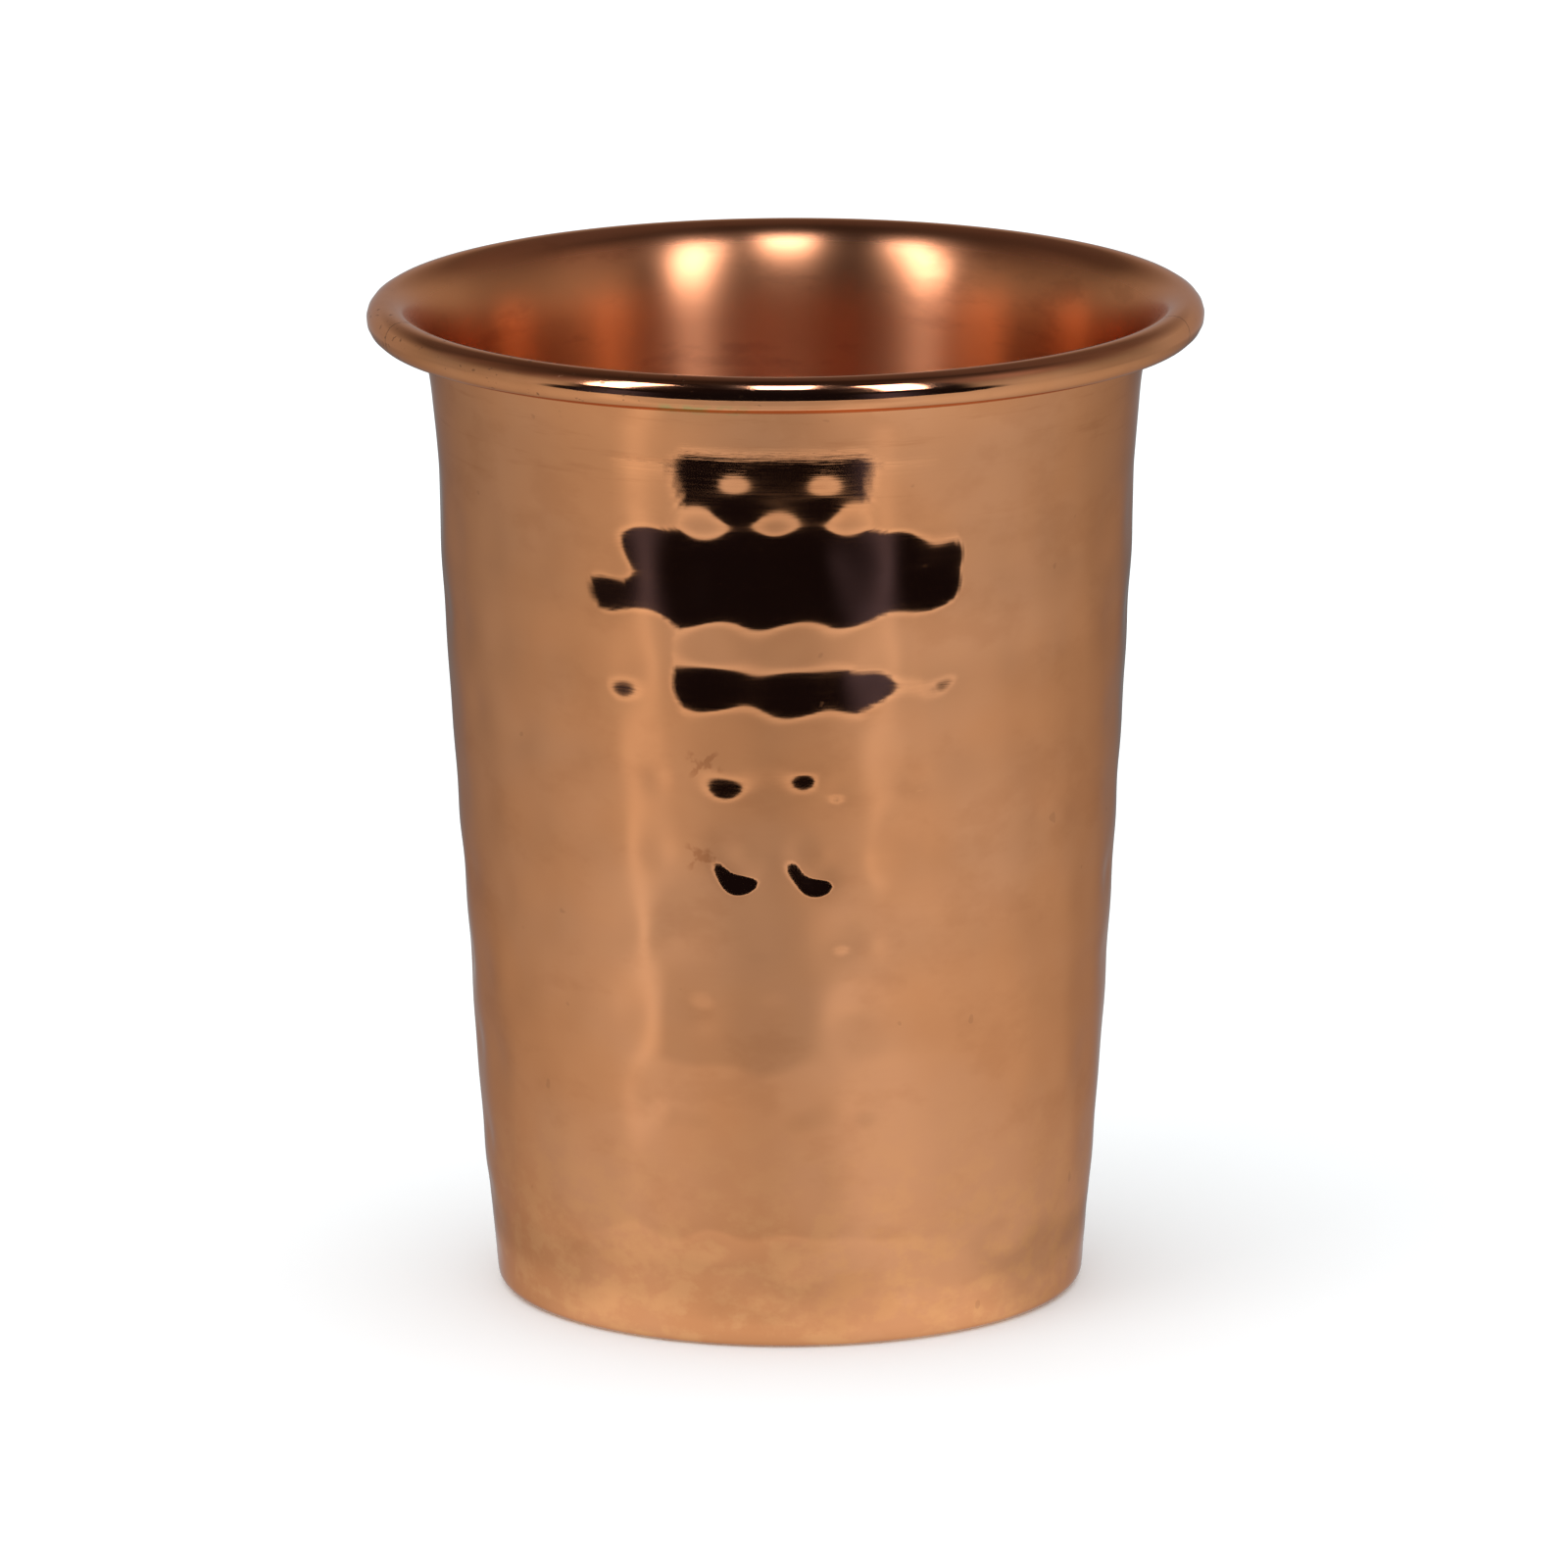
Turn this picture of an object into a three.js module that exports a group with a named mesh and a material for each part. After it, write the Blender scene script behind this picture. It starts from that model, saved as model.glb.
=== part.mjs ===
// A hammered copper drinking tumbler: a tapered wall with a flared, wired lip and a soldered-in base.
// Millimetres, +Z up, origin at the middle of the face that it stands on.
import * as THREE from "three";

// Driving dimensions
const HEIGHT = 100;
const NECK_R = 35.16; // outside of the wall where the lip starts to flare
const NECK_Z = 90.5;
const TAPER = 0.0555; // how much the radius shrinks for each millimetre down the wall
const TUCK = 1; // how far the wall draws in further, down at the foot
const TUCK_HEIGHT = 20; // the height over which that fades to about a third
const SHEET = 0.7; // thickness of the copper
const LIP_RISE = 5.4; // pull of the lip's curve along the wall, at the neck
const LIP_SPREAD = 2.6; // pull of the lip's curve outwards, at the top
const BEAD_R = 1.8; // outside radius of the curl's round section
const BEAD_CENTRE_R = 39.7; // from the cup's axis to the middle of that section
const CURL_SWEEP = THREE.MathUtils.degToRad(255); // how far the curl turns, from its top outwards and under
const CORNER_R = 1.3; // outside radius of the foot corner
const FLANGE_R = 22; // inner edge of the turned-in flange
const FIT_GAP = 0.2; // between pieces that lie on each other
const DISC_EDGE_GAP = 0.35; // round the base disc's edge
const SOLDER_LEG = 2.4; // height and width of the solder fillet
const SOLDER_TOE = 0.25; // thickness of its two thin edges
const WIRE_R = 0.8;
const WIRE_BUTT_GAP = 0.8; // between the two ends of the wire

// Worked out from them
const HALF = SHEET / 2;
const BEAD_Z = HEIGHT - BEAD_R;
const DISC_Z = SHEET + FIT_GAP;
const SOLDER_Z = DISC_Z + SHEET + FIT_GAP;

// Steps round the axis and along each stretch of the section
const TURN_STEPS = 60;
const CORNER_STEPS = 3;
const WALL_STEPS = 5;
const LIP_STEPS = 6;
const CURL_STEPS = 9;
const FILLET_STEPS = 4;
const WIRE_HALF_STEPS = 5;

// Outside radius of the wall at a height between the foot corner and the neck.
function wallOutside(z) {
  return NECK_R - TAPER * (NECK_Z - z) - TUCK * Math.exp(-z / TUCK_HEIGHT);
}

// How steeply the radius grows with the height there.
function wallSlope(z) {
  return TAPER + (TUCK / TUCK_HEIGHT) * Math.exp(-z / TUCK_HEIGHT);
}

// The foot corner's arc, which runs into the leaning wall.
function cornerArc() {
  const radius = CORNER_R - HALF;
  const lean = Math.atan(wallSlope(CORNER_R));
  const wallStart = CORNER_R - radius * Math.sin(lean);
  const centre = wallOutside(wallStart) - HALF - radius * Math.cos(lean);
  return new THREE.EllipseCurve(centre, CORNER_R, radius, radius, -Math.PI / 2, -lean);
}

// Points up the middle of the wall, from the end of the corner to the neck.
function wallPoints(startZ) {
  return Array.from({ length: WALL_STEPS + 1 }, (_, i) => {
    const z = THREE.MathUtils.lerp(startZ, NECK_Z, i / WALL_STEPS);
    return new THREE.Vector2(wallOutside(z) - HALF, z);
  });
}

// The middle line of the sheet, from the flange's edge round the foot, up the wall and round the curl.
function sheetMiddle() {
  const corner = cornerArc().getPoints(CORNER_STEPS);
  const wall = wallPoints(corner[CORNER_STEPS].y);
  const neck = wall[WALL_STEPS];
  const top = new THREE.Vector2(BEAD_CENTRE_R, HEIGHT - HALF);
  const lip = new THREE.CubicBezierCurve(
    neck,
    new THREE.Vector2(neck.x + LIP_RISE * wallSlope(NECK_Z), neck.y + LIP_RISE),
    new THREE.Vector2(top.x - LIP_SPREAD, top.y),
    top,
  );
  const quarter = Math.PI / 2;
  const curlR = BEAD_R - HALF;
  const curl = new THREE.EllipseCurve(
    BEAD_CENTRE_R, BEAD_Z, curlR, curlR, quarter, quarter - CURL_SWEEP, true,
  );
  return [
    new THREE.Vector2(FLANGE_R, HALF),
    ...corner,
    ...wall.slice(1),
    ...lip.getPoints(LIP_STEPS).slice(1),
    ...curl.getPoints(CURL_STEPS).slice(1),
  ];
}

// The two sides of a sheet whose middle line is given, joined into one closed outline.
function sheetOutline(middle) {
  const last = middle.length - 1;
  const right = [];
  const left = [];
  middle.forEach((point, i) => {
    const before = point.clone().sub(middle[Math.max(i - 1, 0)]).normalize();
    const after = middle[Math.min(i + 1, last)].clone().sub(point).normalize();
    const along = before.add(after).normalize();
    const across = new THREE.Vector2(along.y, -along.x).multiplyScalar(HALF);
    right.push(point.clone().add(across));
    left.unshift(point.clone().sub(across));
  });
  return [...right, ...left, right[0]];
}

// A section outline turned round the Z axis.
function turned(outline) {
  return new THREE.LatheGeometry(outline, TURN_STEPS).rotateX(Math.PI / 2);
}

function wallShell() {
  return turned(sheetOutline(sheetMiddle()));
}

function baseDisc() {
  const edge = wallOutside(DISC_Z + SHEET) - SHEET - DISC_EDGE_GAP;
  return turned([
    new THREE.Vector2(0, DISC_Z),
    new THREE.Vector2(edge, DISC_Z),
    new THREE.Vector2(edge, DISC_Z + SHEET),
    new THREE.Vector2(0, DISC_Z + SHEET),
  ]);
}

// A fillet with a hollow face, in the corner between the base disc and the wall.
function baseSolder() {
  const outer = wallOutside(SOLDER_Z) - SHEET - FIT_GAP;
  const hollow = SOLDER_LEG - SOLDER_TOE;
  const face = new THREE.EllipseCurve(
    outer - SOLDER_LEG, SOLDER_Z + SOLDER_LEG, hollow, hollow, 0, -Math.PI / 2, true,
  );
  const outline = [
    new THREE.Vector2(outer, SOLDER_Z),
    new THREE.Vector2(outer, SOLDER_Z + SOLDER_LEG),
    ...face.getPoints(FILLET_STEPS),
    new THREE.Vector2(outer - SOLDER_LEG, SOLDER_Z),
  ];
  return turned([...outline, outline[0]]);
}

// The wire's middle line: a ring that stops short of closing.
class WireRing extends THREE.Curve {
  getPoint(t, target = new THREE.Vector3()) {
    const gapAngle = WIRE_BUTT_GAP / BEAD_CENTRE_R;
    const angle = gapAngle / 2 + t * (2 * Math.PI - gapAngle);
    const x = BEAD_CENTRE_R * Math.cos(angle);
    const y = BEAD_CENTRE_R * Math.sin(angle);
    return target.set(x, y, BEAD_Z);
  }
}

function rimWire() {
  const section = new THREE.Shape().absarc(0, 0, WIRE_R, 0, 2 * Math.PI);
  return new THREE.ExtrudeGeometry(section, {
    steps: TURN_STEPS,
    curveSegments: WIRE_HALF_STEPS,
    bevelEnabled: false,
    extrudePath: new WireRing(),
  });
}

function metal(color, roughness) {
  return new THREE.MeshStandardMaterial({ color, roughness, metalness: 1 });
}

function piece(name, geometry, material) {
  const mesh = new THREE.Mesh(geometry, material);
  mesh.name = name;
  return mesh;
}

const tumbler = new THREE.Group();
tumbler.add(
  piece("wall_shell", wallShell(), metal(0xc8825a, 0.25)),
  piece("base_disc", baseDisc(), metal(0xb9744d, 0.35)),
  piece("base_solder", baseSolder(), metal(0xa9a8a4, 0.45)),
  piece("rim_wire", rimWire(), metal(0x85878a, 0.4)),
);

export default tumbler;
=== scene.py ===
"""Looks for a hammered copper tumbler: its wall, base, solder and rim wire, and the studio round it."""
import math

import bpy
import numpy as np
from mathutils import Matrix, Vector


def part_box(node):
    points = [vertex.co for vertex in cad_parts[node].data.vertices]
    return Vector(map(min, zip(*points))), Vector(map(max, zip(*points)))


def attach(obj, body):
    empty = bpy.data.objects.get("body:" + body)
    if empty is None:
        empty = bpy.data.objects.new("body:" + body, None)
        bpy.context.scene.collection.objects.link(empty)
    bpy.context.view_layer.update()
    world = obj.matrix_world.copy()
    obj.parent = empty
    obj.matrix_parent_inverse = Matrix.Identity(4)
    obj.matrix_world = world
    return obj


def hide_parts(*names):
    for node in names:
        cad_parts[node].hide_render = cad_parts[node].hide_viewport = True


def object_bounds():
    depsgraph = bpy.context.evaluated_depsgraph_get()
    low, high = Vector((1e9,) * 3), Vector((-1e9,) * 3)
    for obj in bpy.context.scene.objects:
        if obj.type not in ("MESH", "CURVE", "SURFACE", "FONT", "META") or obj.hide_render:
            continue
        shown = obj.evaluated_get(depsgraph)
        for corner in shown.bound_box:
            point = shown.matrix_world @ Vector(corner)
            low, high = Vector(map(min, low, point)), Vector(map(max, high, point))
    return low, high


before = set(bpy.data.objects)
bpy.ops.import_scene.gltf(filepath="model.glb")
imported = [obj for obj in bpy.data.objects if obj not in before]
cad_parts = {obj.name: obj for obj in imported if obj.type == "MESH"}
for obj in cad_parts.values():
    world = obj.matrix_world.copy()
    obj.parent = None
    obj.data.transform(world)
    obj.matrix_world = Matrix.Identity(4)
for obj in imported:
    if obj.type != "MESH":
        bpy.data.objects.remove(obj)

cad_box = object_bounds()

MM = 0.001
BODY = "root"

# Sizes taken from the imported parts
disc_low, disc_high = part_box("base_disc")
solder_low, solder_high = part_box("base_solder")
wire_low, wire_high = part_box("rim_wire")
HEIGHT = cad_box[1].z
RIM_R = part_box("wall_shell")[1].x
SHEET = disc_high.z - disc_low.z
WIRE_R = (wire_high.z - wire_low.z) / 2
BEAD_Z = (wire_high.z + wire_low.z) / 2
BEAD_R = HEIGHT - BEAD_Z
BEAD_CENTRE_R = RIM_R - BEAD_R

# Sizes of the wall's section
NECK_R = 35.16 * MM
NECK_Z = 90.5 * MM
TAPER = 0.0555
TUCK = 1 * MM
TUCK_HEIGHT = 20 * MM
LIP_RISE = 5.4 * MM
LIP_SPREAD = 2.6 * MM
CORNER_R = 1.3 * MM
FLANGE_R = 22 * MM
CURL_SWEEP = math.radians(255)
HALF = SHEET / 2

# The hammer marks
COLUMNS = 26
ROW_HEIGHTS = (87.0, 79.2, 69.5, 60.6, 51.8, 42.9, 34.1, 25.2, 16.4)
ROW_DEPTHS = (0.03, 0.24, 0.26, 0.17, 0.18, 0.2, 0.2, 0.18, 0.16)
ROW_DRIFT = math.radians(2.85)
FIRST_COLUMN = math.radians(-5.3)
AROUND = COLUMNS * 14
MEAN_DEPTH = 0.12 * MM
BAND_GROOVE = 0.19 * MM

# Single marks on the front: angle in degrees, height, depth and size in mm. A negative depth is a bump.
SINGLE_MARKS = (
    (-11.2, 51.4, 0.15, 1.1), (-10.3, 50.0, 0.15, 1.1), (-8.8, 48.6, 0.17, 1.1), (-7.1, 48.9, 0.12, 1.0),
    (-7.6, 51.0, -0.1, 1.0),
    (1.4, 51.7, 0.14, 1.1), (2.4, 50.2, 0.15, 1.1), (4.2, 48.6, 0.16, 1.1), (6.2, 48.5, 0.13, 1.0),
    (5.4, 50.9, -0.1, 1.0),
    (-14.5, 81.6, 0.06, 1.6), (-10.5, 81.3, 0.07, 1.6), (8.5, 81.6, 0.06, 1.6), (-1.9, 82.4, 0.05, 1.3),
    (-8.5, 87.0, 0.045, 1.3), (6.0, 87.0, 0.04, 1.2),
    (-10.0, 58.2, 0.05, 1.3), (2.8, 59.3, 0.035, 0.9), (8.2, 57.3, 0.08, 0.9), (22.8, 57.7, 0.1, 0.9),
    (-22.3, 58.0, 0.09, 1.1),
    (-21.6, 41.8, 0.08, 1.2), (-4.7, 41.2, 0.06, 1.0), (10.2, 42.4, 0.05, 1.5), (24.8, 43.0, 0.08, 1.7),
    (-22.5, 50.4, 0.08, 1.3), (16.5, 50.3, 0.06, 1.4), (27.5, 51.0, 0.07, 1.6),
)


def smoothstep(x, low, high):
    """0 below low, 1 above high, and smooth between them."""
    t = np.clip((x - low) / (high - low), 0, 1)
    return t * t * (3 - 2 * t)


# ---------------------------------------------------------------- section of the sheet


def wall_radius(z):
    """Outside radius of the wall between the foot corner and the neck."""
    return NECK_R - TAPER * (NECK_Z - z) - TUCK * np.exp(-z / TUCK_HEIGHT)


def wall_slope(z):
    """How steeply that radius grows with the height."""
    return TAPER + TUCK / TUCK_HEIGHT * math.exp(-z / TUCK_HEIGHT)


def arc(centre, radius, start, end):
    """A stretch of a circle, as a function of a fraction from 0 to 1."""
    def at(f):
        angle = start + (end - start) * f
        return np.stack([centre[0] + radius * np.cos(angle), centre[1] + radius * np.sin(angle)], -1)
    return at


def bezier(*corners):
    """A cubic curve from its four control points, as a function of a fraction from 0 to 1."""
    a, b, c, d = (np.array(p) for p in corners)

    def at(f):
        f = f[:, None]
        return a * (1 - f) ** 3 + 3 * b * f * (1 - f) ** 2 + 3 * c * f * f * (1 - f) + d * f ** 3
    return at


QUARTER = math.pi / 2
CORNER_MIDDLE_R = CORNER_R - HALF
CORNER_LEAN = math.atan(wall_slope(CORNER_R))
WALL_START_Z = CORNER_R - CORNER_MIDDLE_R * math.sin(CORNER_LEAN)
CORNER_CENTRE_R = wall_radius(WALL_START_Z) - HALF - CORNER_MIDDLE_R * math.cos(CORNER_LEAN)
NECK = (wall_radius(NECK_Z) - HALF, NECK_Z)
LIP_TOP = (BEAD_CENTRE_R, HEIGHT - HALF)


def flange_line(f):
    """The flat ring that the cup stands on, from its inner edge outwards."""
    r = FLANGE_R + (CORNER_CENTRE_R - FLANGE_R) * f
    return np.stack([r, np.full_like(r, HALF)], -1)


def wall_line(f):
    """The wall from the foot corner to the neck, in steps that shorten upwards."""
    f = f * (1.3 - 0.3 * f)
    z = WALL_START_Z + (NECK_Z - WALL_START_Z) * f
    return np.stack([wall_radius(z) - HALF, z], -1)


corner_line = arc((CORNER_CENTRE_R, CORNER_R), CORNER_MIDDLE_R, -QUARTER, -CORNER_LEAN)
lip_line = bezier(NECK, (NECK[0] + LIP_RISE * wall_slope(NECK_Z), NECK_Z + LIP_RISE),
                  (LIP_TOP[0] - LIP_SPREAD, LIP_TOP[1]), LIP_TOP)
curl_line = arc((BEAD_CENTRE_R, BEAD_Z), BEAD_R - HALF, QUARTER, QUARTER - CURL_SWEEP)
STRETCHES = (flange_line, corner_line, wall_line, lip_line, curl_line)


def sheet_side(steps):
    """Points of the sheet's middle line and its outward normals, with the steps given for each stretch."""
    nudge = 1e-4
    points, along = [], []
    for curve, count in zip(STRETCHES, steps):
        f = np.linspace(0, 1, count + 1)
        step = curve(f + nudge) - curve(f - nudge)
        step /= np.linalg.norm(step, axis=1)[:, None]
        p = curve(f)
        if points:
            along[-1][-1] += step[0]
            p, step = p[1:], step[1:]
        points.append(p)
        along.append(step)
    points, along = np.concatenate(points), np.concatenate(along)
    along /= np.linalg.norm(along, axis=1)[:, None]
    return points, np.stack([along[:, 1], -along[:, 0]], -1)


# ---------------------------------------------------------------- relief


def dents(angle, z, marks):
    """Height of overlapping hammer marks, below 0. Each is a shallow oval bowl."""
    total = np.zeros_like(angle)
    for a, height, depth, across, upright in marks:
        turn = (angle - a + math.pi) % (2 * math.pi) - math.pi
        u = turn * wall_radius(height) / across
        w = (z - height) / upright
        total -= depth * np.exp(-(u * u + w * w) / 2)
    return total


def main_marks(random):
    """Rows of large hammer marks, which drift round the cup from row to row. The top row is faint."""
    marks = []
    for row, (height, depth) in enumerate(zip(ROW_HEIGHTS, ROW_DEPTHS)):
        for column in range(COLUMNS):
            z = (height + random.normal(0, 0.3)) * MM
            a = FIRST_COLUMN + row * ROW_DRIFT + column * 2 * math.pi / COLUMNS
            a += random.normal(0, 0.35 * MM) / wall_radius(z)
            upright = random.uniform(2.7, 3.0) if row == 1 else random.uniform(2.4, 2.7)
            marks.append((a, z, random.normal(depth, 0.02) * MM, random.uniform(2.3, 2.5) * MM, upright * MM))
    return marks


def deep_marks(random):
    """The single marks on the front, and small ones in the middle of some of the large marks."""
    marks = []
    for a, z, depth, size in SINGLE_MARKS:
        marks.append((math.radians(a), z * MM, depth * MM, size * MM, size * MM))
    for row in range(3, len(ROW_HEIGHTS)):
        for column in range(COLUMNS):
            z = (ROW_HEIGHTS[row] + random.normal(0.3, 0.5)) * MM
            a = FIRST_COLUMN + row * ROW_DRIFT + column * 2 * math.pi / COLUMNS
            a += random.normal(0.3, 0.6) * MM / wall_radius(z)
            size = random.uniform(1.1, 1.5) * MM
            depth = random.uniform(0.02, 0.12) * MM * (random.uniform() < 0.5)
            marks.append((a, z, depth, size, size))
    return marks


def foot_marks(random):
    """Small, irregular marks in a band above the foot."""
    marks = []
    columns = 44
    for row in range(3):
        for column in range(columns):
            z = (3.4 + 3.6 * row) * MM + random.normal(0, 0.6 * MM)
            a = (column + 0.5 * row) * 2 * math.pi / columns + random.normal(0, 0.9 * MM) / wall_radius(z)
            marks.append((a, z, random.uniform(0, 0.12) * MM, 1.6 * MM, 1.3 * MM))
    return marks


def ripple(angle, z, random, size, height):
    """Gentle unevenness: a few random waves that close round the cup."""
    total = np.zeros_like(angle)
    waves = 36
    for _ in range(waves):
        turns = round(random.normal(0, 1) * 2 * math.pi * NECK_R / size / 2)
        upright = random.normal(0, 1) * math.pi / size
        total += np.sin(turns * angle + upright * z + random.uniform(0, 2 * math.pi))
    return total * height / math.sqrt(waves / 2)


def wall_relief(angle, z):
    """How far the wall's surface lies outside its smooth shape."""
    random = np.random.default_rng(7)

    # Large and single marks, and a smooth groove under the lip. They fade on the lip and at the foot.
    hammered = dents(angle, z, main_marks(random)) + MEAN_DEPTH * (1 - smoothstep(z, 79 * MM, 84 * MM))
    hammered += dents(angle, z, deep_marks(random))
    hammered -= BAND_GROOVE * smoothstep(z, 74 * MM, 84 * MM) * (1 - smoothstep(z, 83 * MM, 93 * MM))
    hammered *= 1 - smoothstep(z, 90 * MM, 95 * MM)
    hammered *= smoothstep(z, 7 * MM, 13 * MM)

    # Small marks round the foot, and gentle unevenness that is strongest low on the wall
    at_foot = dents(angle, z, foot_marks(random)) * smoothstep(z, 1.6 * MM, 4 * MM)
    uneven = ripple(angle, z, random, 9 * MM, 0.005 * MM) + ripple(angle, z, random, 4 * MM, 0.0015 * MM)
    uneven += ripple(angle, z, random, 13 * MM, 0.05 * MM) * (1 - smoothstep(z, 32 * MM, 48 * MM))
    uneven *= smoothstep(z, 1.6 * MM, 8 * MM) * (1 - smoothstep(z, 84 * MM, 90 * MM))
    return hammered + at_foot + uneven


# ---------------------------------------------------------------- meshes


def grid_object(name, points, wrap_rows=True, materials=(), row_material=None, attributes=None, poles=None):
    """A smooth-shaded mesh from a grid of points that closes round its columns.

    Its rows close up as well, unless wrap_rows is False. The poles are points that close its two ends.
    Each row has its material's number in row_material, and each point its value or colour in attributes.
    """
    rows, columns = points.shape[:2]
    index = np.arange(rows * columns).reshape(rows, columns)
    below = index if wrap_rows else index[:-1]
    above = np.roll(index, -1, 0) if wrap_rows else index[1:]
    faces = np.stack([below, np.roll(below, -1, 1), np.roll(above, -1, 1), above], -1).reshape(-1, 4)
    vertices, faces = points.reshape(-1, 3).tolist(), faces.tolist()
    if poles is not None:
        first, last = index[0].tolist(), index[-1].tolist()
        low, high = len(vertices), len(vertices) + 1
        vertices += [list(p) for p in poles]
        faces += [[low, first[(j + 1) % columns], first[j]] for j in range(columns)]
        faces += [[last[j], last[(j + 1) % columns], high] for j in range(columns)]
    mesh = bpy.data.meshes.new(name)
    mesh.from_pydata(vertices, [], faces)
    for key, values in (attributes or {}).items():
        kind = "FLOAT_COLOR" if values.ndim == 3 else "FLOAT"
        layer = mesh.attributes.new(key, kind, "POINT")
        field = "color" if kind == "FLOAT_COLOR" else "value"
        layer.data.foreach_set(field, values.astype(np.float32).ravel())
    for material in materials:
        mesh.materials.append(material)
    if row_material is not None:
        per_face = np.repeat(np.asarray(row_material)[: len(below)], columns)
        mesh.polygons.foreach_set("material_index", per_face.astype(np.int32))
    mesh.polygons.foreach_set("use_smooth", np.ones(len(faces), bool))
    mesh.update()
    thing = bpy.data.objects.new(name, mesh)
    bpy.context.scene.collection.objects.link(thing)
    return thing


def turned_points(section, angle):
    """Points of a section turned round the Z axis. Angle 0 is the front, -Y, and it grows towards +X."""
    r, z, angle = np.broadcast_arrays(section[..., 0], section[..., 1], angle)
    return np.stack([r * np.sin(angle), -r * np.cos(angle), z], -1)


def round_angles(count):
    """Even angles all the way round."""
    return np.arange(count) * 2 * math.pi / count


def wall_angles():
    """Angles for the wall's columns, which lie closer together at the front."""
    crowding = 0.35
    even = round_angles(AROUND)
    return even - crowding * np.sin(even)


def hammered_rows(steps):
    """1 for the rows of points on the wall and the lip, and 0 for those on the foot and the curl."""
    first = steps[0] + steps[1]
    rows = np.zeros(sum(steps) + 1)
    rows[first:first + steps[2] + steps[3]] = 1
    return rows


def make_wall(outside_material, inside_material):
    """The hammered sheet, in one mesh from the flange round the outside, the curl and the inside."""
    outside_steps = (4, 6, 164, 16, 20)
    inside_steps = (2, 3, 34, 10, 12)
    out_mid, out_normal = sheet_side(outside_steps)
    in_mid, in_normal = sheet_side(inside_steps)
    angle, out_z = np.meshgrid(wall_angles(), out_mid[:, 1])
    in_angle, in_z = np.meshgrid(wall_angles(), in_mid[:, 1])
    out_relief = wall_relief(angle, out_z) * hammered_rows(outside_steps)[:, None]
    in_relief = wall_relief(in_angle, in_z) * hammered_rows(inside_steps)[:, None] * 0.8
    outer = out_mid[:, None] + out_normal[:, None] * (HALF + out_relief[..., None])
    inner = in_mid[:, None] + in_normal[:, None] * (-HALF + in_relief[..., None])
    section = np.concatenate([outer, inner[::-1]])
    around = np.concatenate([angle, in_angle])
    row = np.arange(len(in_mid))
    lip_end = sum(inside_steps[:4])
    towards_bead = smoothstep(row, lip_end - 6, lip_end + 1)
    is_inside = row < lip_end
    inside = np.concatenate([np.zeros(len(out_mid)), 1 - towards_bead[::-1]])
    slots = np.concatenate([np.zeros(len(out_mid)), is_inside[::-1]])
    inside = np.repeat(inside[:, None], AROUND, 1)
    return grid_object("wall_shell_hammered", turned_points(section, around),
                       materials=[outside_material, inside_material], row_material=slots,
                       attributes={"inside": inside})


def ring_relief(x, y, random, count, depth, size):
    """Shallow dents scattered over a flat disc of unit radius, spaced like the seeds of a sunflower."""
    total = np.zeros_like(x)
    golden_turn = 2.39996
    for i in range(count):
        r = math.sqrt((i + 0.5) / count) + random.normal(0, 0.012)
        a = i * golden_turn + random.normal(0, 0.02)
        distance = (x - r * math.cos(a)) ** 2 + (y - r * math.sin(a)) ** 2
        total -= depth * random.uniform(0.5, 1) * np.exp(-distance / (2 * size * size))
    return total


def make_base_disc(material):
    """A planished disc with softened edges."""
    random = np.random.default_rng(11)
    edge = 0.15 * MM
    flat_r = disc_high.x - edge
    r = np.linspace(0, flat_r, 72)[1:]
    bend = np.linspace(0, math.pi / 2, 5)
    top, bottom = disc_high.z, disc_low.z
    low_edge = np.stack([flat_r + edge * np.sin(bend), bottom + edge - edge * np.cos(bend)], -1)[1:]
    high_edge = np.stack([low_edge[::-1, 0], bottom + top - low_edge[::-1, 1]], -1)
    section = np.concatenate([
        np.stack([r, np.full_like(r, bottom)], -1), low_edge, high_edge,
        np.stack([r[::-1], np.full_like(r, top)], -1),
    ])
    points = turned_points(section[:, None], round_angles(240)[None])
    flat = np.ones(len(section))
    flat[len(r):len(r) + len(low_edge) + len(high_edge)] = 0
    fade = 1 - smoothstep(section[:, 0], disc_high.x - 1.5 * MM, disc_high.x - 0.3 * MM)
    x, y = points[..., 0] / disc_high.x, points[..., 1] / disc_high.x
    relief = ring_relief(x, y, random, 170, 0.035 * MM, 0.075)
    outwards = np.where(section[:, 1] > (top + bottom) / 2, 1, -1)
    points[..., 2] += relief * (flat * fade)[:, None] * outwards[:, None]
    return grid_object("base_disc_planished", points, wrap_rows=False, materials=[material],
                       poles=[(0, 0, bottom), (0, 0, top)])


def make_base_solder(material):
    """A wiped fillet of solder whose hollow face and toe wander a little."""
    random = np.random.default_rng(5)
    outer, low, leg = solder_high.x, solder_low.z, solder_high.z - solder_low.z
    toe = 0.25 * MM
    hollow = leg - toe
    turn = np.linspace(0, -math.pi / 2, 17)
    face = np.stack([outer - leg + hollow * np.cos(turn), low + leg + hollow * np.sin(turn)], -1)
    foot = np.stack([np.linspace(outer - leg, outer, 6), np.full(6, low)], -1)
    side = np.stack([np.full(6, outer), np.linspace(low, low + leg, 7)[1:]], -1)
    section = np.concatenate([foot, side, face])
    around = round_angles(300)
    points = np.repeat(section[:, None], len(around), 1)
    middle = np.zeros(len(section))
    middle[len(foot) + len(side):] = np.sin(np.linspace(0.15, math.pi - 0.15, len(face)))
    wander = np.zeros_like(around)
    for turns in range(3, 46):
        wander += np.cos(turns * around + random.uniform(0, 2 * math.pi)) * random.normal(0, 1) / turns ** 0.8
    wander *= 0.05 * MM / np.abs(wander).max()
    points[..., 0] -= middle[:, None] * (wander + 0.02 * MM)
    points[..., 1] += middle[:, None] * (wander + 0.02 * MM)
    return grid_object("base_solder_wiped", turned_points(points, around[None]), materials=[material])


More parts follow.
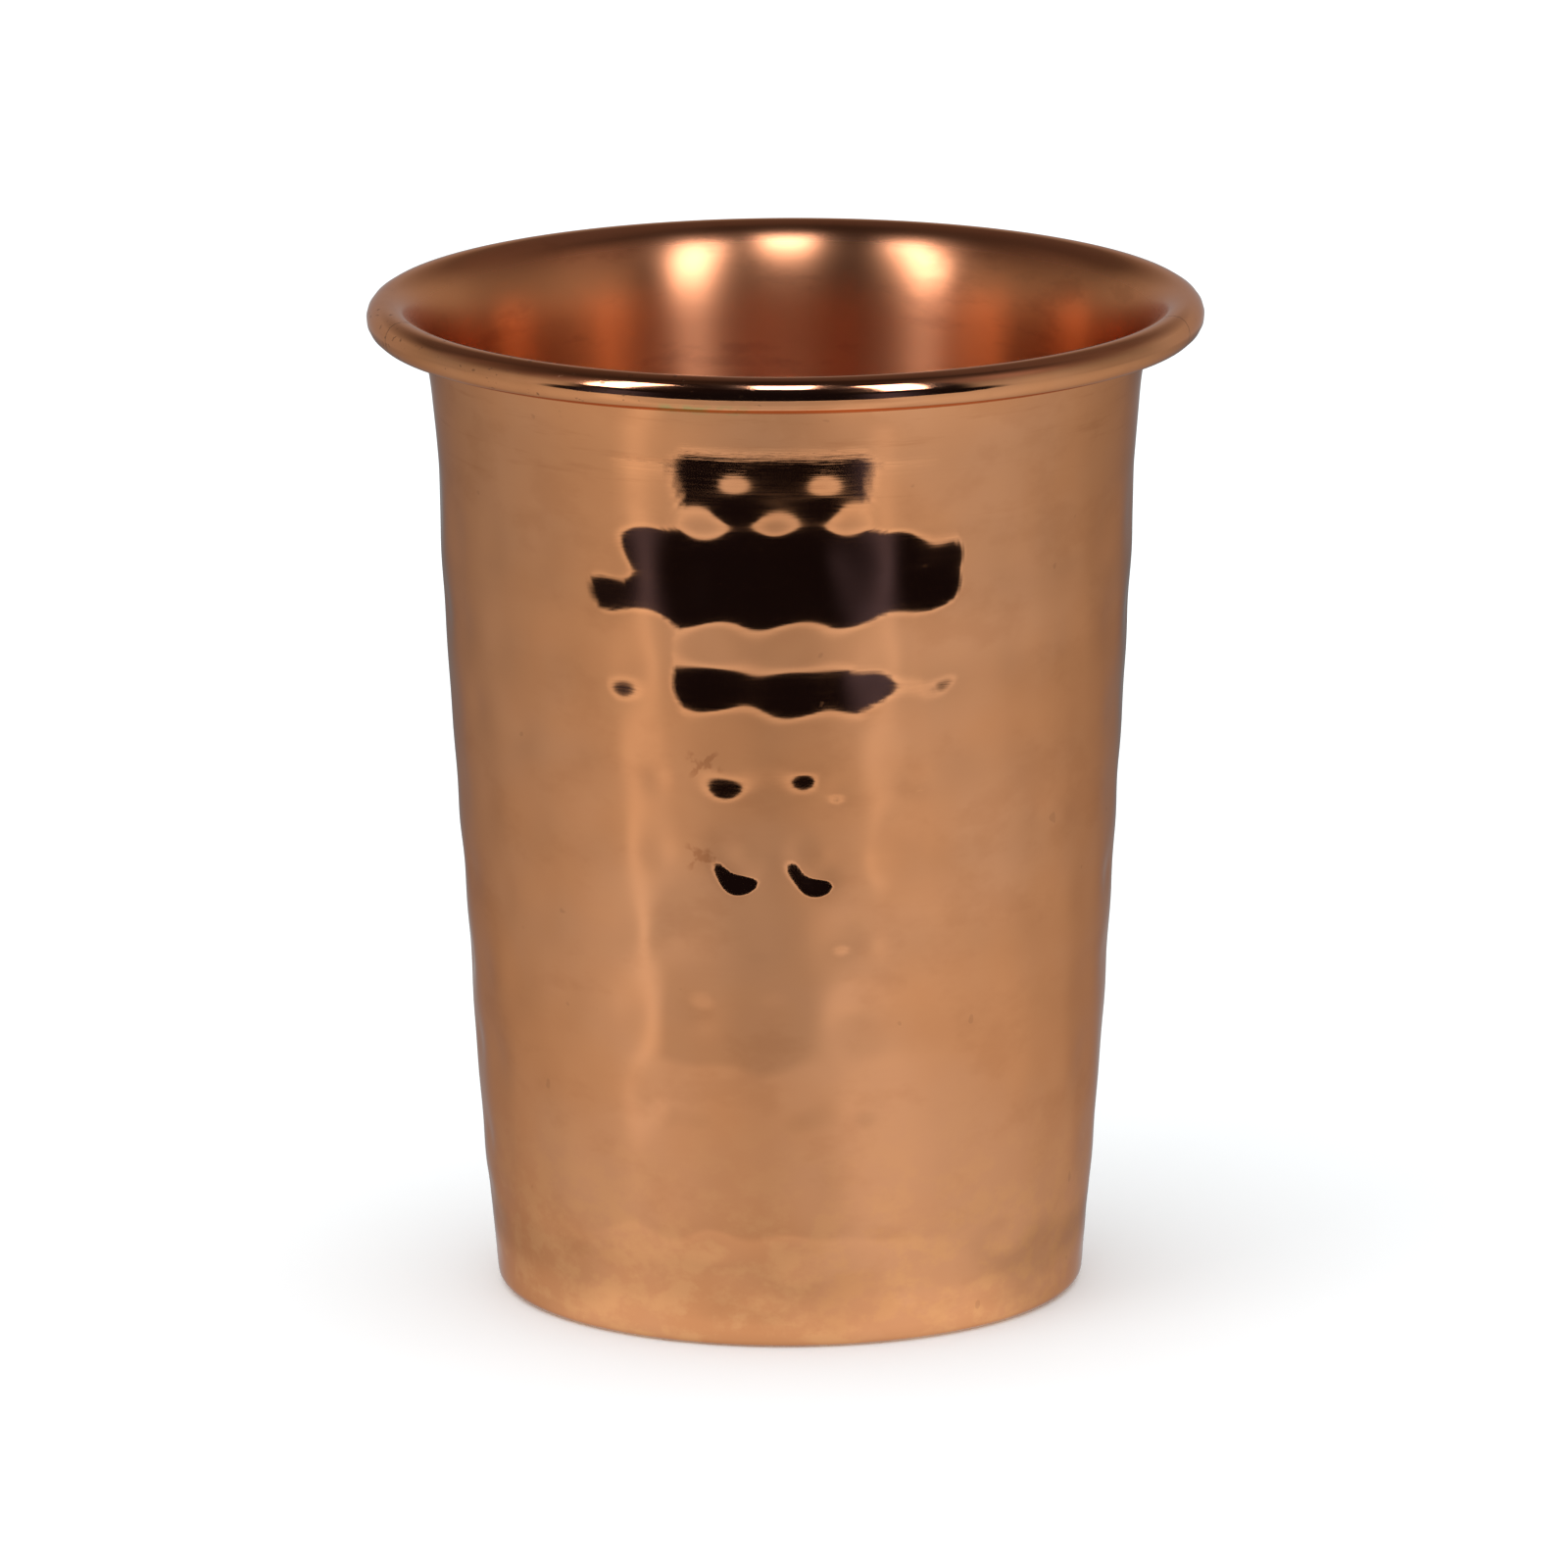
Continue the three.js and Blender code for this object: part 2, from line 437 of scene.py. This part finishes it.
def make_rim_wire(material):
    """The drawn wire inside the bead, with a butt gap between its ends."""
    gap = 0.8 * MM / BEAD_CENTRE_R
    around = np.linspace(math.pi / 2 + gap / 2, math.pi / 2 + 2 * math.pi - gap / 2, 320)
    section_turn = -round_angles(22)
    radius = WIRE_R * (1 - 0.012 * (1 + np.sin(around * 37) * np.sin(around * 11)) / 2)
    radius[[0, -1]] *= 0.82
    r = BEAD_CENTRE_R + radius[:, None] * np.cos(section_turn)
    z = BEAD_Z + radius[:, None] * np.sin(section_turn)
    points = turned_points(np.stack([r, z], -1), around[:, None])
    ends = [turned_points(np.array([BEAD_CENTRE_R, BEAD_Z]), a) for a in around[[0, -1]]]
    return grid_object("rim_wire_drawn", points, wrap_rows=False, materials=[material], poles=ends)


# ---------------------------------------------------------------- materials


def new_material(name):
    """A material with its node tree and its main shader."""
    material = bpy.data.materials.new(name)
    material.use_nodes = True
    return material, material.node_tree, material.node_tree.nodes["Principled BSDF"]


def node(tree, kind, **settings):
    """A new node with its settings."""
    made = tree.nodes.new(kind)
    for key, value in settings.items():
        setattr(made, key, value)
    return made


def stretched_noise(tree, scale, detail=2.0, roughness=0.5):
    """Noise in object space, with its own scale along each axis, in features per metre."""
    where = node(tree, "ShaderNodeTexCoord")
    mapping = node(tree, "ShaderNodeMapping")
    mapping.inputs["Scale"].default_value = scale
    noise = node(tree, "ShaderNodeTexNoise")
    noise.inputs["Scale"].default_value = 1.0
    noise.inputs["Detail"].default_value = detail
    noise.inputs["Roughness"].default_value = roughness
    tree.links.new(where.outputs["Object"], mapping.inputs["Vector"])
    tree.links.new(mapping.outputs["Vector"], noise.inputs["Vector"])
    return noise.outputs["Fac"]


def math_node(tree, operation, a, b):
    """One operation on two sockets or numbers."""
    made = node(tree, "ShaderNodeMath", operation=operation)
    for socket, value in zip(made.inputs, (a, b)):
        if isinstance(value, (int, float)):
            socket.default_value = value
        else:
            tree.links.new(value, socket)
    return made.outputs[0]


def map_range(tree, value, low, high, to_low, to_high):
    """A value from low to high, turned smoothly into one from to_low to to_high."""
    made = node(tree, "ShaderNodeMapRange", interpolation_type="SMOOTHSTEP")
    tree.links.new(value, made.inputs["Value"])
    for key, number in (("From Min", low), ("From Max", high), ("To Min", to_low), ("To Max", to_high)):
        made.inputs[key].default_value = number
    return made.outputs["Result"]


def mix_colour(tree, factor, a, b):
    """Colour a where the factor is 0 and b where it is 1."""
    made = node(tree, "ShaderNodeMix", data_type="RGBA")
    tree.links.new(factor, made.inputs[0])
    for socket, value in ((made.inputs[6], a), (made.inputs[7], b)):
        if isinstance(value, tuple):
            socket.default_value = (*value, 1)
        else:
            tree.links.new(value, socket)
    return made.outputs[2]


def bump(tree, height, distance, normal=None):
    """A normal that shows a relief as deep as the distance given."""
    made = node(tree, "ShaderNodeBump")
    made.inputs["Strength"].default_value = 1.0
    made.inputs["Distance"].default_value = distance
    tree.links.new(height, made.inputs["Height"])
    if normal is not None:
        tree.links.new(normal, made.inputs["Normal"])
    return made.outputs["Normal"]


COPPER = (0.77, 0.335, 0.145)
COPPER_RED = (0.77, 0.325, 0.135)
COPPER_PALE = (0.79, 0.37, 0.18)
COPPER_EDGE = (0.8, 0.66, 0.6)
# The next colour is a painted sheen, used for the lighter mottling low on the wall
PAINTED_SHEEN_GOLD = (0.84, 0.4, 0.175)
COPPER_DARK = (0.58, 0.23, 0.095)
COPPER_BLACK = (0.12, 0.06, 0.035)
TARNISH = (0.42, 0.4, 0.16)


def position(tree):
    """The object-space position, and the height above the foot."""
    where = node(tree, "ShaderNodeTexCoord").outputs["Object"]
    split = node(tree, "ShaderNodeSeparateXYZ")
    tree.links.new(where, split.inputs[0])
    return where, split.outputs["Z"]


def distance_from_plane(tree, where, normal):
    """Signed distance from a plane through the axis."""
    made = node(tree, "ShaderNodeVectorMath", operation="DOT_PRODUCT")
    tree.links.new(where, made.inputs[0])
    made.inputs[1].default_value = normal
    return made.outputs["Value"]


def product(tree, *factors):
    """The product of sockets and numbers."""
    total = factors[0]
    for factor in factors[1:]:
        total = math_node(tree, "MULTIPLY", total, factor)
    return total


def between(tree, value, low, high, soft):
    """1 between two values and 0 outside them."""
    return product(tree, map_range(tree, value, low - soft, low + soft, 0, 1),
                   map_range(tree, value, high - soft, high + soft, 1, 0))


def facing(tree, where, angle, lean=0.0):
    """Distances from the axis towards an angle round the cup, and sideways from it.

    Lean times the height is added to the second.
    """
    a = math.radians(angle)
    towards = distance_from_plane(tree, where, (math.sin(a), -math.cos(a), 0))
    sideways = distance_from_plane(tree, where, (math.cos(a), math.sin(a), lean))
    return towards, sideways


def crease(tree, where, z, angle, lean):
    """A hairline crack across the bead."""
    towards, sideways = facing(tree, where, angle, lean)
    middle = HEIGHT * lean
    narrow = between(tree, sideways, middle - 0.05 * MM, middle + 0.05 * MM, 0.05 * MM)
    return product(tree, narrow, map_range(tree, towards, 38 * MM, 38.5 * MM, 0, 1),
                   map_range(tree, z, 96.8 * MM, 97.2 * MM, 0, 1))


def bruise(tree, where, z, angle, height):
    """A small brown star where the sheet has creased between two blows."""
    towards, sideways = facing(tree, where, angle)
    up = math_node(tree, "SUBTRACT", z, height)
    one = math_node(tree, "ABSOLUTE", math_node(tree, "SUBTRACT", up, product(tree, sideways, 0.9)), 0)
    other = math_node(tree, "ABSOLUTE", math_node(tree, "ADD", up, product(tree, sideways, 0.5)), 0)
    wobble = map_range(tree, stretched_noise(tree, (1300, 1300, 1300), 2), 0.3, 0.7, 0, 0.5 * MM)
    arms = map_range(tree, math_node(tree, "SUBTRACT", math_node(tree, "MINIMUM", one, other), wobble),
                     -0.1 * MM, 0.25 * MM, 1, 0)
    spread = math_node(tree, "ADD", product(tree, sideways, sideways), product(tree, up, up))
    near = map_range(tree, spread, (0.6 * MM) ** 2, (2.4 * MM) ** 2, 1, 0)
    rough = map_range(tree, stretched_noise(tree, (800, 800, 800), 3), 0.4, 0.56, 0, 0.85)
    return product(tree, arms, near, rough, map_range(tree, towards, 20 * MM, 30 * MM, 0, 1))


def lip_tarnish(tree, where, z):
    """A greenish stain close under the bead, a little left of the front."""
    towards, sideways = facing(tree, where, -13.5)
    return product(tree, between(tree, sideways, -3.2 * MM, 5.5 * MM, 1.5 * MM),
                   map_range(tree, towards, 30 * MM, 32 * MM, 0, 1),
                   between(tree, z, 95.6 * MM, 97.3 * MM, 0.4 * MM),
                   map_range(tree, stretched_noise(tree, (700, 700, 700), 3), 0.4, 0.58, 0.12, 0.8))


def bead_nicks(tree, where, z):
    """Dark nicks on the worn left of the bead."""
    towards, _ = facing(tree, where, -50)
    worn = product(tree, map_range(tree, towards, 20 * MM, 34 * MM, 0, 1),
                   map_range(tree, z, 96 * MM, 97 * MM, 0, 1))
    specks = stretched_noise(tree, (1100, 1100, 1800), 2)
    return product(tree, worn, map_range(tree, specks, 0.66, 0.72, 0, 0.5))


def inside_finish(tree, shader, colour):
    """Colour, roughness and normal of soft lathe lines, which spread highlights up and down."""
    amount = node(tree, "ShaderNodeAttribute", attribute_name="inside").outputs["Fac"]
    lines = stretched_noise(tree, (60, 60, 3200), 3, 0.6)
    colour = mix_colour(tree, amount, colour, COPPER_RED)
    stains = map_range(tree, stretched_noise(tree, (110, 110, 320), 4, 0.6), 0.52, 0.68, 0, 0.5)
    colour = mix_colour(tree, stains, colour, COPPER_DARK)
    roughness = map_range(tree, amount, 0, 1, 0.07, 0.3)
    shader.inputs["Anisotropic"].default_value = 0.85
    shader.inputs["Anisotropic Rotation"].default_value = 0.25
    tangent = node(tree, "ShaderNodeTangent", direction_type="RADIAL", axis="Z")
    tree.links.new(tangent.outputs[0], shader.inputs["Tangent"])
    return colour, roughness, bump(tree, lines, 0.0015 * MM)


def outside_finish(tree, colour):
    """Colour, roughness and normal of the bright outside, with its stains, pits, nicks and cracks."""
    where, z = position(tree)
    # Painted sheen: mottled patches low on the wall are lighter and golder, standing in for highlights near
    # the foot
    sheen_mottle = stretched_noise(tree, (260, 260, 340), 4, 0.6)
    sheen_low_down = map_range(tree, z, 4 * MM, 26 * MM, 1.0, 0.1)
    colour = mix_colour(tree, product(tree, sheen_low_down, map_range(tree, sheen_mottle, 0.42, 0.62, 0, 1)),
                        colour, PAINTED_SHEEN_GOLD)
    clouds = map_range(tree, stretched_noise(tree, (95, 95, 150), 4, 0.6), 0.5, 0.66, 0, 0.22)
    colour = mix_colour(tree, clouds, colour, COPPER_DARK)
    smears = map_range(tree, stretched_noise(tree, (70, 70, 900), 4, 0.65), 0.55, 0.72, 0, 0.35)
    smears = product(tree, smears, map_range(tree, z, 82 * MM, 90 * MM, 0.08, 1))
    colour = mix_colour(tree, smears, colour, COPPER_DARK)
    bruises = math_node(tree, "MAXIMUM", bruise(tree, where, z, -14.2, 60.0 * MM),
                        bruise(tree, where, z, -14.6, 50.6 * MM))
    colour = mix_colour(tree, bruises, colour, COPPER_DARK)
    colour = mix_colour(tree, lip_tarnish(tree, where, z), colour, TARNISH)

    pits = map_range(tree, stretched_noise(tree, (520, 520, 520), 1, 0.4), 0.785, 0.81, 0, 0.15)
    cracks = math_node(tree, "MAXIMUM", crease(tree, where, z, -72, 0.25), crease(tree, where, z, 74, -0.3))
    marks = math_node(tree, "MAXIMUM", pits, bead_nicks(tree, where, z))
    marks = math_node(tree, "MAXIMUM", marks, cracks)
    colour = mix_colour(tree, marks, colour, COPPER_BLACK)

    lines = stretched_noise(tree, (170, 170, 4500), 3, 0.6)
    in_band = map_range(tree, z, 88 * MM, 91.5 * MM, 0.08, 0.8)
    roughness = map_range(tree, lines, 0.3, 0.7, 0.035, 0.06)
    on_bead = map_range(tree, z, 95.5 * MM, 96.6 * MM, 0, 0.05)
    roughness = math_node(tree, "ADD", roughness, on_bead)
    roughness = math_node(tree, "ADD", roughness, product(tree, marks, 0.35))
    normal = bump(tree, product(tree, lines, in_band), 0.005 * MM)
    normal = bump(tree, math_node(tree, "MULTIPLY", marks, -1), 0.004 * MM, normal)
    return colour, roughness, normal


def copper_wall_material(name, inside):
    """Buffed copper, whose tone varies in soft patches."""
    material, tree, shader = new_material(name)
    tone = map_range(tree, stretched_noise(tree, (45, 45, 45), 3), 0.35, 0.65, 0, 1)
    colour = mix_colour(tree, tone, COPPER, COPPER_PALE)
    if inside:
        colour, roughness, normal = inside_finish(tree, shader, colour)
    else:
        colour, roughness, normal = outside_finish(tree, colour)
    tree.links.new(colour, shader.inputs["Base Color"])
    tree.links.new(roughness, shader.inputs["Roughness"])
    shader.inputs["Metallic"].default_value = 1.0
    shader.inputs["Specular Tint"].default_value = (*COPPER_EDGE, 1)
    tree.links.new(normal, shader.inputs["Normal"])
    return material


def base_copper_material():
    """Copper sheet with the rings left by turning it against a polishing cloth, and a little tarnish."""
    material, tree, shader = new_material("base_copper")
    where = node(tree, "ShaderNodeTexCoord").outputs["Object"]
    flat = node(tree, "ShaderNodeVectorMath", operation="MULTIPLY")
    tree.links.new(where, flat.inputs[0])
    flat.inputs[1].default_value = (1, 1, 0)
    length = node(tree, "ShaderNodeVectorMath", operation="LENGTH")
    tree.links.new(flat.outputs[0], length.inputs[0])
    rings = node(tree, "ShaderNodeTexNoise", noise_dimensions="1D")
    rings.inputs["Scale"].default_value = 2600
    rings.inputs["Detail"].default_value = 3
    tree.links.new(length.outputs["Value"], rings.inputs["W"])
    tone = map_range(tree, stretched_noise(tree, (120, 120, 120), 4, 0.6), 0.38, 0.66, 0, 1)
    colour = mix_colour(tree, tone, COPPER_RED, COPPER_DARK)
    roughness = map_range(tree, rings.outputs["Fac"], 0.3, 0.7, 0.2, 0.34)
    tree.links.new(colour, shader.inputs["Base Color"])
    tree.links.new(roughness, shader.inputs["Roughness"])
    shader.inputs["Metallic"].default_value = 1.0
    tree.links.new(bump(tree, rings.outputs["Fac"], 0.004 * MM), shader.inputs["Normal"])
    return material


def metal_material(name, colours, scale, roughness, depth):
    """A dull metal whose colour, gloss and surface vary with one stretched noise."""
    material, tree, shader = new_material(name)
    grain = stretched_noise(tree, scale, 4, 0.6)
    colour = mix_colour(tree, map_range(tree, grain, 0.35, 0.65, 0, 1), *colours)
    tree.links.new(colour, shader.inputs["Base Color"])
    tree.links.new(map_range(tree, grain, 0.3, 0.7, *roughness), shader.inputs["Roughness"])
    shader.inputs["Metallic"].default_value = 1.0
    tree.links.new(bump(tree, grain, depth), shader.inputs["Normal"])
    return material


# ---------------------------------------------------------------- studio


def glow_material(name):
    """Light of the colour that each point holds. It isn't sampled as a lamp."""
    material, tree, shader = new_material(name)
    tree.nodes.remove(shader)
    glow = node(tree, "ShaderNodeEmission")
    colour = node(tree, "ShaderNodeAttribute", attribute_name="glow")
    tree.links.new(colour.outputs["Color"], glow.inputs["Color"])
    tree.links.new(glow.outputs[0], tree.nodes["Material Output"].inputs["Surface"])
    material.cycles.emission_sampling = "NONE"
    return material


def bell(x, centre, width):
    """1 at the centre, falling smoothly to 0 on both sides."""
    return np.exp(-(((x - centre) / width) ** 2))


def near_edge(angle, r):
    """Radius in mm where the lit table ends, by the angle from the front in degrees. Its steps are ragged."""
    count = 90
    ragged = np.random.default_rng(3).normal(0, 1.6, count)
    ragged_r = np.arange(count) * 2.0 + 200
    away = abs(angle + 4)
    away = away + np.interp(r, ragged_r, ragged) * bell(away, 31, 4)
    return np.interp(away, [0, 28, 34, 46, 51, 56, 61], [242, 242, 286, 291, 300, 330, 420])


def table_glow(angle, r):
    """Brightness of the lit table, by the angle from the front in degrees and the radius in mm."""
    off_front = abs(angle)
    # Painted shade: the table is darkest under the foot, where the cup's contact shadow falls, and the bright
    # and dark rings just outside it are painted caustic light
    level = np.interp(r, [22, 28, 29.5, 34, 41, 47, 56, 70, 110, 200, 300],
                      [0.5, 0.62, 0.8, 0.9, 0.76, 0.72, 0.7, 0.72, 0.72, 0.67, 0.62])

    # The front is dimmer in its middle, brighter on its right near the cup, and has one dim patch.
    centre_dip = 1 - bell(angle, -6, 24) * np.interp(r, [34, 50, 120, 200], [0.08, 0.18, 0.18, 0.3])
    centre_dip = centre_dip + 0.1 * bell(angle, 26, 16) * (1 - smoothstep(r, 100, 130))
    patch = smoothstep(angle, -44, -36) * (1 - smoothstep(angle, 2, 22))
    patch = 1 - 0.16 * patch * smoothstep(r, 94, 106) * (1 - smoothstep(r, 110, 210))

    # The sides and the back are dimmer, most of all beside the foot and far behind.
    sides = np.interp(off_front, [0, 45, 58, 73, 90, 105, 118, 145, 180],
                      [1, 1, 0.92, 0.84, 0.75, 0.7, 0.62, 0.53, 0.62])
    sides = sides * (1 + 0.09 * smoothstep(angle, 45, 75) * (1 - smoothstep(angle, 120, 170)))
    sides = sides * (1 - 0.4 * smoothstep(r, 110, 240) * smoothstep(off_front, 138, 168))
    beside_foot = smoothstep(off_front, 45, 66) * (1 - smoothstep(off_front, 130, 175))
    beside_foot = 1 - np.where(angle > 0, 0.26, 0.16) * (beside_foot * (1 - smoothstep(r, 41, 52)))

    # A bright hem runs along the near edge, two streaks run towards the cup, and a ring lies near its foot.
    bright_hem = 0.28 * bell(r, near_edge(angle, r) - 6, 13) * (1 - smoothstep(off_front, 57, 63))
    streaks = 0.16 * bell(angle, -48, 5) * smoothstep(r, 60, 120)
    streaks = streaks + 0.14 * bell(angle, 30, 4.5) * smoothstep(r, 130, 190)
    ring = 0.12 * bell(r, 51, 2.4) * bell(angle, -12, 45)
    return level * centre_dip * patch * sides * beside_foot + bright_hem + streaks + ring


def surround_glow(angle, r, elevation):
    """Colour of what the cup mirrors, in three channels. Below elevation 0 it is in the table's plane."""
    # In front, past the table's near edge, is a dark room with two grey shapes.
    room = np.zeros(angle.shape + (3,)) + np.array([0.008, 0.007, 0.011])
    shapes = (bell(angle, -46, 11) ** 2 + bell(angle, 28, 9) ** 2)[..., None] * np.array([0.07, 0.08, 0.16])
    room = room + shapes * (elevation < 10)[..., None]
    half_width = 59 - 7 * smoothstep(elevation, 0, 6)
    front = 1 - smoothstep(abs(angle + 4), half_width, half_width + 8)

    # At the sides and behind are pale walls that darken upwards.
    walls = np.interp(elevation, [-90, 0, 15, 40, 60, 90], [0.34, 0.36, 0.3, 0.16, 0.06, 0.04])
    walls = walls * (1 - 0.3 * bell(angle, -88, 22) * smoothstep(elevation, 15, 35))
    walls = walls * (1 + 0.5 * bell(abs(angle), 70, 18))
    walls = walls + 0.16 * bell(angle, 78, 16) * bell(elevation, 44, 12)
    back_left = np.interp(elevation, [-90, 15, 31, 90], [0.42, 0.42, 0.08, 0.04])
    back_right = np.interp(elevation, [-90, 15, 33, 90], [0.48, 0.48, 0.2, 0.04])
    rightness = (1 + np.sin(np.radians(angle))) / 2
    back = back_left * (1 - rightness) + back_right * rightness
    behind = smoothstep(abs(angle), 112, 135)
    walls = walls * (1 - behind) + back * behind
    walls = walls[..., None] * np.array([1.0, 1.0, 1.02])
    away = room * front[..., None] + walls * (1 - front)[..., None]

    # High up it is nearly dark, and what light comes from there is redder.
    high = smoothstep(elevation, 60, 84)[..., None]
    away = away * (1 - high) + 0.03 * high
    redder = smoothstep(elevation, 15, 45)[..., None]
    away = away * (1 - redder * np.array([0.0, 0.24, 0.22]))

    # The table's edge is sharp in front and soft at the sides.
    edge = near_edge(angle, r)
    soft = np.interp(abs(angle), [60, 75], [2, 110])
    beyond = smoothstep(r, edge - soft, edge + soft)[..., None]
    return table_glow(angle, r)[..., None] * (1 - beyond) + away * beyond


def make_surround():
    """A glowing table top and dome round it: a painted reflection that only the metal mirrors. Its sizes are
    in mm.
    """
    table_z = -0.2
    table_elevation = -20.0
    dome_r = 2600.0
    dome_top_r = 1.0
    far_away = 9999.0
    angles = np.arange(360.0)
    table_r = np.concatenate([
        [0.5, 20, 28, 28.5, 29, 29.5], np.linspace(30, 60, 12), np.linspace(66, 212, 26),
        np.linspace(214, 322, 55), [340, 370, 400, 440, 480, 520, 600, 800, 1200],
    ])
    dome_elevation = np.arange(0, 90.1, 1.5)
    rise = np.radians(dome_elevation[:-1])
    r = np.concatenate([table_r, dome_r * np.cos(rise), [dome_top_r]])
    z = np.concatenate([np.full(len(table_r), table_z), dome_r * np.sin(rise), [dome_r]])
    elevation = np.concatenate([np.full(len(table_r), table_elevation), dome_elevation])
    signed = (angles + 180) % 360 - 180
    angle_grid, r_grid = np.meshgrid(signed, np.where(elevation < 0, r, far_away))
    elevation_grid = np.repeat(elevation[:, None], len(angles), 1)
    glow = surround_glow(angle_grid, r_grid, elevation_grid)
    glow = np.concatenate([glow, np.ones(glow.shape[:2] + (1,))], -1)
    section = np.stack([r * MM, z * MM], -1)
    points = turned_points(np.repeat(section[:, None], len(angles), 1), np.radians(angles)[None])
    surround = grid_object("mirrored_surround", points, wrap_rows=False,
                           materials=[glow_material("surround_glow")], attributes={"glow": glow})
    for ray in ("camera", "diffuse", "transmission", "volume_scatter", "shadow"):
        setattr(surround, "visible_" + ray, False)


def make_floor():
    """A pale floor. It lies a hair under the foot, so that the two faces don't coincide."""
    bpy.ops.mesh.primitive_plane_add(size=12, location=(0, 0, -0.02 * MM))
    floor = bpy.context.object
    floor.name = "floor"
    material, _, shader = new_material("pale_floor")
    shader.inputs["Base Color"].default_value = (0.9, 0.93, 0.943, 1)
    shader.inputs["Roughness"].default_value = 0.9
    shader.inputs["Specular IOR Level"].default_value = 0.0
    floor.data.materials.append(material)
    floor.visible_glossy = False


def make_light():
    """A white sky and one large soft lamp. The metal mirrors neither."""
    world = bpy.data.worlds.new("studio")
    bpy.context.scene.world = world
    world.use_nodes = True
    background = world.node_tree.nodes["Background"]
    background.inputs["Color"].default_value = (1, 1, 1, 1)
    background.inputs["Strength"].default_value = 1.25
    lamp = bpy.data.lights.new("soft_key", "AREA")
    lamp.size = 0.5
    lamp.energy = 1.2
    key = bpy.data.objects.new("soft_key", lamp)
    key.location = (-0.55, -0.45, 0.8)
    key.rotation_euler = (Vector((0, 0, 0.04)) - key.location).to_track_quat("-Z", "Y").to_euler()
    key.visible_glossy = False
    bpy.context.scene.collection.objects.link(key)


def direction(angle, elevation):
    """A unit vector from the cup, by the angle from the front and the elevation in degrees."""
    a, e = math.radians(angle), math.radians(elevation)
    return Vector((math.sin(a) * math.cos(e), -math.cos(a) * math.cos(e), math.sin(e)))


def make_soft_box(name, low, high, radiance):
    """A soft box whose ends lie in two directions from the cup, and that shows only in the metal."""
    low, high = direction(*low), direction(*high)
    box = bpy.data.lights.new(name, "AREA")
    box.shape = "RECTANGLE"
    box.size = 0.18
    box.size_y = (high - low).length
    watts_per_radiance = 4 * box.size * box.size_y
    box.energy = watts_per_radiance * radiance
    box.color = (1, 1, 1.25)
    thing = bpy.data.objects.new(name, box)
    away = ((low + high) / 2).normalized()
    along = (high - low - away * away.dot(high - low)).normalized()
    turn = Matrix((along.cross(away), along, away)).transposed().to_4x4()
    thing.matrix_world = Matrix.Translation((low + high) / 2) @ turn
    thing.visible_camera = False
    thing.visible_diffuse = False
    bpy.context.scene.collection.objects.link(thing)


def make_camera():
    """A long lens a little above the cup, in front of it."""
    distance = 1.6
    elevation = math.radians(13.21)
    roll = math.radians(-0.281)
    target = Vector((0, 0, HEIGHT / 2))
    camera = bpy.data.cameras.new("camera")
    camera.sensor_width = 36
    camera.lens = 368.5
    camera.clip_end = 20
    camera.shift_x = -0.0024
    camera.shift_y = 0.0022
    thing = bpy.data.objects.new("camera", camera)
    place = target + distance * Vector((0, -math.cos(elevation), math.sin(elevation)))
    turn = (target - place).to_track_quat("-Z", "Y").to_matrix().to_4x4()
    thing.matrix_world = Matrix.Translation(place) @ turn @ Matrix.Rotation(roll, 4, "Z")
    bpy.context.scene.collection.objects.link(thing)
    bpy.context.scene.camera = thing


# ---------------------------------------------------------------- the cup


def add_piece(piece, node_name):
    """Puts a piece on the body in place of its CAD node."""
    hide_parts(node_name)
    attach(piece, BODY)


make_camera()
make_floor()
make_surround()
make_light()
make_soft_box("soft_box_left", (-51, 24), (-53, 60), 5.5)
make_soft_box("soft_box_middle", (-1, 52), (-1, 72), 6.5)
make_soft_box("soft_box_right", (33, 24), (36, 60), 5.5)
bpy.context.scene.view_settings.view_transform = "Standard"

wall = make_wall(copper_wall_material("copper_outside", False), copper_wall_material("copper_inside", True))
add_piece(wall, "wall_shell")
disc = make_base_disc(base_copper_material())
add_piece(disc, "base_disc")
tin = metal_material("tin_solder", ((0.55, 0.55, 0.53), (0.34, 0.33, 0.31)), (260, 260, 260),
                     (0.3, 0.5), 0.03 * MM)
add_piece(make_base_solder(tin), "base_solder")
steel = metal_material("steel_wire", ((0.42, 0.42, 0.43), (0.25, 0.24, 0.23)), (500, 500, 6000),
                       (0.25, 0.45), 0.004 * MM)
add_piece(make_rim_wire(steel), "rim_wire")
